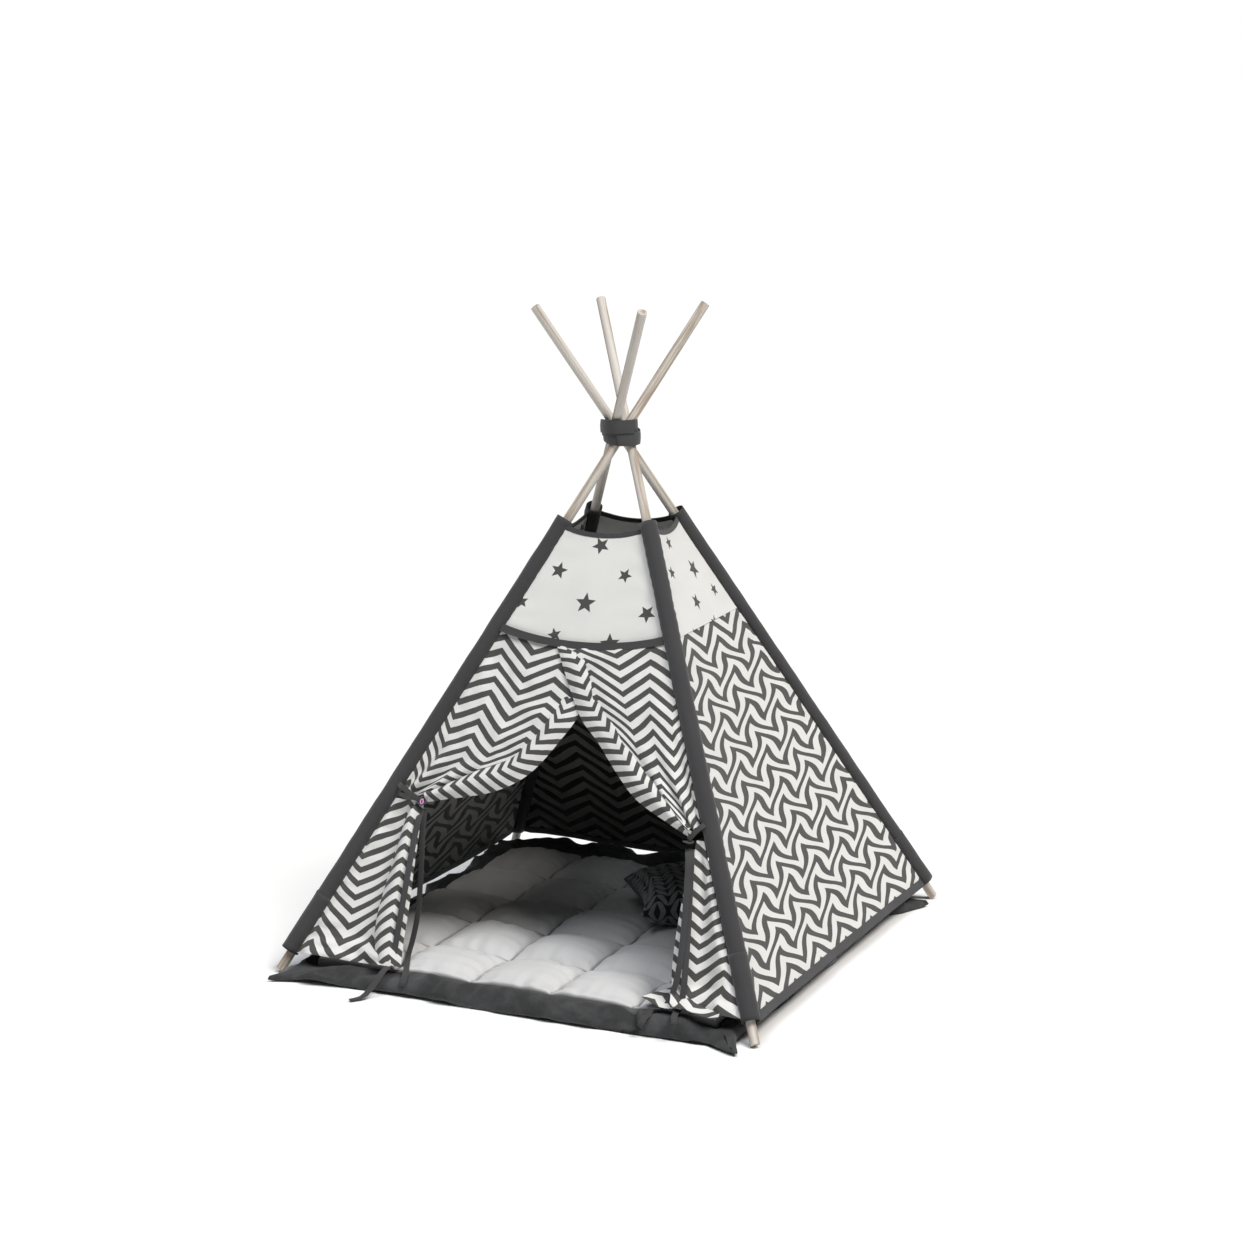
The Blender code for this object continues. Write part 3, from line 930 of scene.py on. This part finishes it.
        def pleatAt(t, s):
            x, z, wide = foldLine[round(t * 63)]
            roll = math.sin(math.pi * (0.10 + 0.86 * s))
            lift = 0.002 + 0.026 * roll * smooth(t / 0.1 + 0.4)
            lift += 0.003 * noise.noise(Vector((s * 2, z * 18, 3.0)))
            return onFront(x - wide * (1 - s), z, base + lift)

        doorPart(verts, uvs, faces, 64, 16, pleatAt,
                 lambda t, s: ((s - 0.72) * foldLine[round(t * 63)].z * 1.35,
                               foldLine[round(t * 63)].y * slope + 0.013))
    else:
        # the corner of the right curtain lies on the mat
        def footAt(t, s):
            a, b = Vector((0.505, -0.535, 0.074)), Vector((0.370, -0.500, 0.084))
            c, d = Vector((0.515, -0.610, 0.062)), Vector((0.325, -0.588, 0.068))
            p = a.lerp(b, s).lerp(c.lerp(d, s), t)
            p.z += 0.005 * math.sin(11 * s + 3 * t) + 0.007 * math.sin(math.pi * t) * math.sin(math.pi * s)
            p.y -= 0.012 * math.sin(math.pi * s) * t
            return p

        doorPart(verts, uvs, faces, 16, 30, footAt, lambda t, s: (0.62 - 0.15 * s, 0.06 - 0.075 * t))

    piece = meshPiece("curtain_cloth_" + which, verts, faces, curtainCloth, uvs)
    if piece.data.polygons[0].normal.dot(front.normal) < 0:
        piece.data.flip_normals()
    thicken(piece, tent["cloth"])
    followLeg(piece, leg, lambda co: doorWeight(co, leg))
    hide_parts("curtain_" + which)


for which, look in doors.items():
    makeDoor(which, look)
print("curtains made")


# the four tails of the tie ribbons, from the knots down to the mat and the floor
tails = {
    "tie_tail_left_inner": ("front_left", 0.25, (
        (-0.304, -0.4195, 0.381), (-0.303, -0.431, 0.34), (-0.298, -0.452, 0.24), (-0.297, -0.47, 0.15),
        (-0.302, -0.487, 0.09), (-0.300, -0.512, 0.0600), (-0.276, -0.562, 0.0565), (-0.258, -0.600, 0.047),
        (-0.250, -0.622, 0.043), (-0.246, -0.639, 0.031))),
    "tie_tail_left_outer": ("front_left", -0.2, (
        (-0.3125, -0.4195, 0.381), (-0.318, -0.433, 0.34), (-0.326, -0.458, 0.24), (-0.332, -0.482, 0.15),
        (-0.334, -0.503, 0.09), (-0.332, -0.534, 0.0600), (-0.322, -0.575, 0.0565), (-0.315, -0.615, 0.046),
        (-0.316, -0.646, 0.028), (-0.325, -0.676, 0.008), (-0.344, -0.705, 0.0045))),
    "tie_tail_right_inner": ("front_right", 0.3, (
        (0.363, -0.4265, 0.369), (0.363, -0.431, 0.33), (0.357, -0.436, 0.24), (0.347, -0.443, 0.15),
        (0.336, -0.454, 0.09), (0.326, -0.476, 0.0600), (0.322, -0.520, 0.0565), (0.335, -0.563, 0.0565),
        (0.345, -0.600, 0.0465), (0.346, -0.622, 0.043), (0.344, -0.642, 0.030))),
    "tie_tail_right_outer": ("front_right", -0.2, (
        (0.371, -0.4265, 0.369), (0.372, -0.434, 0.33), (0.371, -0.445, 0.24), (0.369, -0.458, 0.15),
        (0.369, -0.472, 0.09), (0.371, -0.496, 0.0600), (0.384, -0.545, 0.0565), (0.400, -0.587, 0.054),
        (0.408, -0.606, 0.049))),
}
# the tails hang in front of the curtains, so their courses are pushed clear of this cloth
clothInFront = [BVHTree.FromObject(bpy.data.objects["curtain_cloth_" + hand],
                                   bpy.context.evaluated_depsgraph_get()) for hand in doors]


def clearOfCloth(route):
    outward, sideways, gap = Vector((0.423, -0.906, 0)), Vector((0.906, 0.423, 0)), 0.004
    push = [0.0] * len(route)
    for k in range(2, len(route)):
        for cloth in clothInFront:
            for side in (-0.007, 0.0, 0.007):
                start = route[k] + sideways * side + outward * 0.3
                hit = cloth.ray_cast(start, -outward, 0.3)[0]
                if hit and route[k].z > 0.062:
                    push[k] = max(push[k], (hit - route[k]).dot(outward) + gap)
    wide = [max(push[max(0, k - 4):k + 5]) * min(1, k / 5) for k in range(len(route))]
    for sweep in range(3):
        near = [wide[max(0, k - 4):k + 5] for k in range(len(wide))]
        wide = [sum(part) / len(part) * (k > 0) for k, part in enumerate(near)]
    return [p + outward * step for p, step in zip(route, wide)]


for name, (corner, spin, points) in tails.items():
    course = curveThrough(points, 10)[1]
    route = clearOfCloth(curveThrough(points, max(20, round(course / ribbonLook["step"])))[0])
    length = sum((q - p).length for p, q in zip(route, route[1:]))
    tail = ribbonMesh(name.replace("tie_tail", "ribbon_end"), route, darkTape, spin=spin)
    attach(tail, "leg_" + corner)
    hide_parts(name)
    tuple(route[0])
    [tuple(p) for p in route]
print("ribbon ends made")


# the lashing: a strap wound three and a bit times round the poles
lashing = {"turns": 3.3, "inner": 0.0372, "width": 0.031, "thickness": 0.0028, "steps": 200, "endAngle": -23}


def makeLashing():
    verts, uvs = [], []
    centre = legs["front_left"].height
    steps = lashing["steps"]
    for k in range(steps + 1):
        turn = lashing["turns"] * k / steps
        left = lashing["turns"] - turn       # turns still to come, counted from the loose end in front
        angle = math.radians(lashing["endAngle"]) - left * 2 * math.pi
        reach = lashing["inner"] + 0.0034 * turn
        reach *= 1 - 0.035 * math.cos(4 * (angle - math.radians(45)))
        slide = 0.0150 * math.sin(2 * math.pi * (turn * 0.5 + 0.10))
        if left <= 1.15:
            slide = -0.0140 + 0.030 * smooth((1.0 - left) / 0.8)
        sway = 0.0016 * noise.noise(Vector((turn * 3.1, 2.0, 0.0)))
        for s in range(9):
            across = (s / 8 - 0.5) * lashing["width"]
            cup = -0.0012 * (abs(s / 8 - 0.5) * 2) ** 2
            verts.append(Vector((math.cos(angle) * (reach + cup), math.sin(angle) * (reach + cup),
                                 centre + slide + sway + across)))
            uvs.append((across, angle * reach))
    strap = meshPiece("lashing_webbing", verts, gridFaces(steps + 1, 9), webbing, uvs)
    middle = strap.data.polygons[len(strap.data.polygons) // 2]
    if middle.normal.dot(middle.center * Vector((1, 1, 0))) < 0:
        strap.data.flip_normals()
    thicken(strap, lashing["thickness"])
    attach(strap, "cover")
    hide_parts("lashing_strap")


webbing = plainCanvas("woven webbing", (0.050, 0.050, 0.053), 0.72)
makeLashing()
print("lashing made")


# the mat: a dark cover that wraps up over the edge of a quilt of five by five puffs
mat = {"middle": (0.0, -0.084), "seam": 0.505, "puffs": 5, "puffHigh": 0.038}


def edgeWalk(half, step):
    points, side = [], 2 * half
    count = round(side / step)
    for corner in range(4):
        for k in range(count):
            along = -half + side * k / count
            x, y = ((along, -half), (half, along), (-along, half), (-half, -along))[corner]
            points.append((x, y, half - abs(along)))
    return points


def makeMatCover():
    verts, faces = [], []
    walk = edgeWalk(1.0, 0.0125)
    section = ((0.490, 0.004, 0), (0.535, 0.002, 0.0), (0.550, 0.006, 0.5), (0.554, 0.016, 1.0),
               (0.549, 0.027, 1.0), (0.538, 0.036, 1.0), (0.523, 0.0425, 0.8), (0.510, 0.0450, 0.4),
               (0.503, 0.0430, 0.1), (0.497, 0.036, 0), (0.490, 0.024, 0))
    for x, y, toCorner in walk:
        near = 1 - smooth(toCorner / 0.22)
        ear = (1 - smooth(toCorner / 0.10)) * 0.036
        tall = 1 + 0.55 * smooth((y - 0.8) / 0.15)
        tall += 0.32 * smooth((-x - 0.8) / 0.15) * smooth((y + 0.4) / 0.8)
        tall += 0.35 * math.exp(-((x + 0.10) / 0.05) ** 2) * (y > 0.9)
        tall += 0.16 * noise.noise(Vector((x * 4.3, y * 4.3, 0.5)))
        tall += 0.10 * noise.noise(Vector((x * 11, y * 11, 2.5)))
        notch = math.exp(-((x - 0.58) / 0.035) ** 2) * (y < -0.9)
        for k, (reach, z, soft) in enumerate(section):
            size = reach + ear * (0.25 + 0.75 * (k in (1, 2, 3, 4))) * (1 if k in (1, 2, 3, 4, 5) else 0.2)
            if y > 0.9 and k < 8:
                size += 0.022
            size += 0.012 * noise.noise(Vector((x * 2.6, y * 2.6, 4.5))) * (0 < k < 8)
            place = Vector((x * size, y * size, z * (1 - 0.42 * near * (k > 2)) * (tall if k > 2 else 1)))
            place.y += 0.022 * notch * (k > 2)
            place.z -= 0.016 * notch * (k > 3)
            fold = noise.noise(Vector((place.x * 9, place.y * 9, z * 20)))
            fine = noise.noise(Vector((place.x * 26, place.y * 26, z * 50 + 3)))
            push = soft * (0.026 * fold + 0.015 * fine)
            out = Vector((x * (abs(x) >= abs(y)), y * (abs(y) >= abs(x)), 0)).normalized()
            place += out * push * 0.7
            place.z = max(0.0012, place.z + soft * (0.014 * fold + 0.011 * fine))
            verts.append(place + Vector((*mat["middle"], 0)))
    n = len(section)
    faces = gridFaces(len(walk), n)
    last = (len(walk) - 1) * n
    faces += [(last + c, last + c + 1, c + 1, c) for c in range(n - 1)]
    faces.append(tuple(k * n for k in range(len(walk))))
    faces.append(tuple(k * n + n - 1 for k in reversed(range(len(walk)))))
    cover = meshPiece("mat_case", verts, faces, matCanvas)
    recalcOut(cover)
    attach(cover, "mat")
    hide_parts("mat_cover")
    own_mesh(cover)


def puffPlace(x, y):
    reach = mat["seam"]
    a, b = (x + reach) / (2 * reach) * mat["puffs"], (y + reach) / (2 * reach) * mat["puffs"]
    inner = smooth(min(reach - abs(x), reach - abs(y)) / 0.1)
    a += 0.06 * inner * noise.noise(Vector((x * 5, y * 5, 1)))
    b += 0.06 * inner * noise.noise(Vector((x * 5, y * 5, 8)))
    return a, b


def puffHeight(x, y):
    reach = mat["seam"]
    a, b = puffPlace(x, y)
    da, db = abs(a % 1 - 0.5) * 2, abs(b % 1 - 0.5) * 2
    crown = max(0.0, 1 - da ** 2.6) ** 0.55 * max(0.0, 1 - db ** 2.6) ** 0.55
    toSeamA, toSeamB = 1 - da, 1 - db
    gather = 0.0070 * math.exp(-toSeamB * 2.8) * noise.noise(Vector((x * 42, y * 5, 3))) * smooth(toSeamB * 9)
    gather += (0.0070 * math.exp(-toSeamA * 2.8) * noise.noise(Vector((x * 5, y * 42, 6)))
               * smooth(toSeamA * 9))
    lump = 0.004 * noise.noise(Vector((x * 7, y * 7, 12)))
    edge = min(reach - abs(x), reach - abs(y))
    puff = mat["puffHigh"] * crown + (gather * 1.6 + lump) * crown ** 0.5
    return 0.031 + puff + 0.010 * smooth(1 - edge / 0.03)


def makeQuilt():
    count = 260
    reach = mat["seam"] - 0.0005
    verts, uvs = [], []
    for r in range(count + 1):
        for c in range(count + 1):
            x, y = -reach + 2 * reach * c / count, -reach + 2 * reach * r / count
            near = min(reach - abs(x), reach - abs(y))
            pull = 1 - 0.010 * smooth(1 - near / 0.05)
            verts.append(Vector((x * pull + mat["middle"][0], y * pull + mat["middle"][1], puffHeight(x, y))))
            uvs.append(tuple(n * 2 * mat["seam"] / mat["puffs"] for n in puffPlace(x, y)))
    quilt = meshPiece("mat_quilt_top", verts, gridFaces(count + 1, count + 1), quiltCloth, uvs)
    work = bmesh.new()
    work.from_mesh(quilt.data)
    rim = [e for e in work.edges if e.is_boundary]
    lower = bmesh.ops.extrude_edge_only(work, edges=rim)["geom"]
    for v in lower:
        if isinstance(v, bmesh.types.BMVert):
            v.co.z = 0.010
    bmesh.ops.holes_fill(work, edges=[e for e in work.edges if e.is_boundary], sides=0)
    bmesh.ops.recalc_face_normals(work, faces=work.faces)
    work.to_mesh(quilt.data)
    work.free()
    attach(quilt, "mat")
    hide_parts("mat_quilt")
    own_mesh(quilt)


def quiltPaint():
    paint = Paint("pale quilted cotton")
    u, v = paint.uv()
    at = paint.point(u, v)
    fibres, tone = paint.cloud(at, 800, 2), paint.cloud(at, 5, 4)
    heather = paint.cloud(paint.point(u * 1.0, v * 5.0), 420, 3)
    shade = paint.blend(tone * 0.35 + heather * 0.4 + fibres * 0.25, (0.46, 0.46, 0.465), (0.66, 0.66, 0.665))
    puff = 2 * mat["seam"] / mat["puffs"]
    toSeam = paint.sum("MINIMUM", abs((u / puff + 0.5) % 1.0 - 0.5), abs((v / puff + 0.5) % 1.0 - 0.5)) * puff
    # painted shade in the seam grooves: the quilt is painted darker towards each seam line
    groove = paint.sum("MAXIMUM", 1.0 - toSeam / 0.0055, 0.0)
    shade = paint.blend(groove * 0.95, shade, (0.07, 0.07, 0.072))
    height = weave(paint, u, v, 0.0016) * 0.3 + fibres * 0.7 + paint.cloud(at, 70, 4) * 1.4 - groove * 2.5
    return paint.finish(shade, 0.94, paint.bump(height, 0.4, 0.0009), 0.2)


matCanvas = plainCanvas("dark mat canvas", (0.040, 0.041, 0.043), 0.86, 16.0)
quiltCloth = quiltPaint()
makeMatCover()
makeQuilt()
print("mat made")


# the pillow: two printed sheets sewn round the edge and filled
pillow = {"middle": (0.205, 0.04), "size": (0.37, 0.31), "high": 0.105, "turn": 33, "rest": 0.052}


def leafPaint():
    paint = Paint("leaf print")
    u, v = paint.uv()
    column, pitch = 0.056, 0.0235
    wobble = paint.cloud(paint.point(u, v), 14, 2) * 0.012
    fold = abs((u / column) % 1.0 - 0.5) * 2.0
    run = ((v + wobble + fold * 0.034) / pitch) % 1.0
    leaf = paint.sum("POWER", paint.sum("SINE", fold * 3.1416) * 0.98 + 0.01, 0.6) * 0.42
    gap = abs(run - 0.5) > leaf
    fibres = paint.cloud(paint.point(u, v), 700, 2)
    grey = paint.blend(fibres, (0.12, 0.125, 0.134), (0.22, 0.227, 0.24))
    colour = paint.blend(gap, grey, (0.008, 0.008, 0.009))
    return paint.finish(colour, 0.9, paint.bump(weave(paint, u, v) * 0.3 + fibres, 0.3, 0.0008), 0.2)


def makePillow():
    wide, deep = pillow["size"]
    across, up = 56, 46
    verts, uvs, index = [], [], {}
    for face in (1, -1):
        for r in range(up + 1):
            for c in range(across + 1):
                x, y = 2 * c / across - 1, 2 * r / up - 1
                if face < 0 and (abs(x) == 1 or abs(y) == 1):
                    index[face, r, c] = index[1, r, c]
                    continue
                thick = (1 - abs(x) ** 2.4) ** 0.55 * (1 - abs(y) ** 2.4) ** 0.55
                inX, inY = 1 - 0.085 * (1 - y * y) * abs(x) ** 2, 1 - 0.085 * (1 - x * x) * abs(y) ** 2
                wrinkle = noise.noise(Vector((x * 5, y * 5, face * 2.0))) * 0.006
                radial = noise.noise(Vector((math.atan2(y, x) * 6, 3.0, face))) * 0.006
                radial *= (x * x + y * y) * thick
                z = face * (pillow["high"] / 2 * thick + (wrinkle + radial) * min(1, thick * 3))
                index[face, r, c] = len(verts)
                verts.append(Vector((x * wide / 2 * inX, y * deep / 2 * inY, z)))
                uvs.append((x * wide / 2, y * deep / 2))
    faces = []
    for face in (1, -1):
        for r in range(up):
            for c in range(across):
                corner = [index[face, r + down, c + over] for down, over in ((0, 0), (0, 1), (1, 1), (1, 0))]
                faces.append(corner if face > 0 else corner[::-1])
    piece = meshPiece("pillow_case", verts, faces, leafCloth, uvs)
    inflate(piece)
    lift = pillow["rest"] - min(v.co.z for v in piece.data.vertices)
    turn = Matrix.Rotation(math.radians(pillow["turn"]), 4, "Z")
    piece.data.transform(Matrix.Translation((*pillow["middle"], lift)) @ turn)
    smoothing = piece.modifiers.new("smooth", "SUBSURF")
    smoothing.levels = smoothing.render_levels = 1
    applyAll(piece)
    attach(piece, "pillow")
    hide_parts("pillow")
    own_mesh(piece)


def inflate(piece):
    start = [v.co.copy() for v in piece.data.vertices]
    cloth = piece.modifiers.new("filling", "CLOTH")
    cloth.settings.use_pressure = True
    cloth.settings.uniform_pressure_force = 3.0
    cloth.settings.tension_stiffness = cloth.settings.compression_stiffness = 20
    cloth.settings.bending_stiffness = 0.3
    cloth.settings.effector_weights.gravity = 0
    cloth.settings.quality = 6
    scene = bpy.context.scene
    for number in range(1, 15):
        scene.frame_set(number)
    shape = piece.evaluated_get(bpy.context.evaluated_depsgraph_get()).data
    moved = [v.co.copy() for v in shape.vertices]
    piece.modifiers.clear()
    scene.frame_set(1)
    for v, a, b in zip(piece.data.vertices, start, moved):
        step = b - a
        v.co = a + step * min(1.0, 0.014 / max(step.length, 1e-6))
        v.co.z *= 0.94


leafCloth = leafPaint()
makePillow()
print("pillow made")
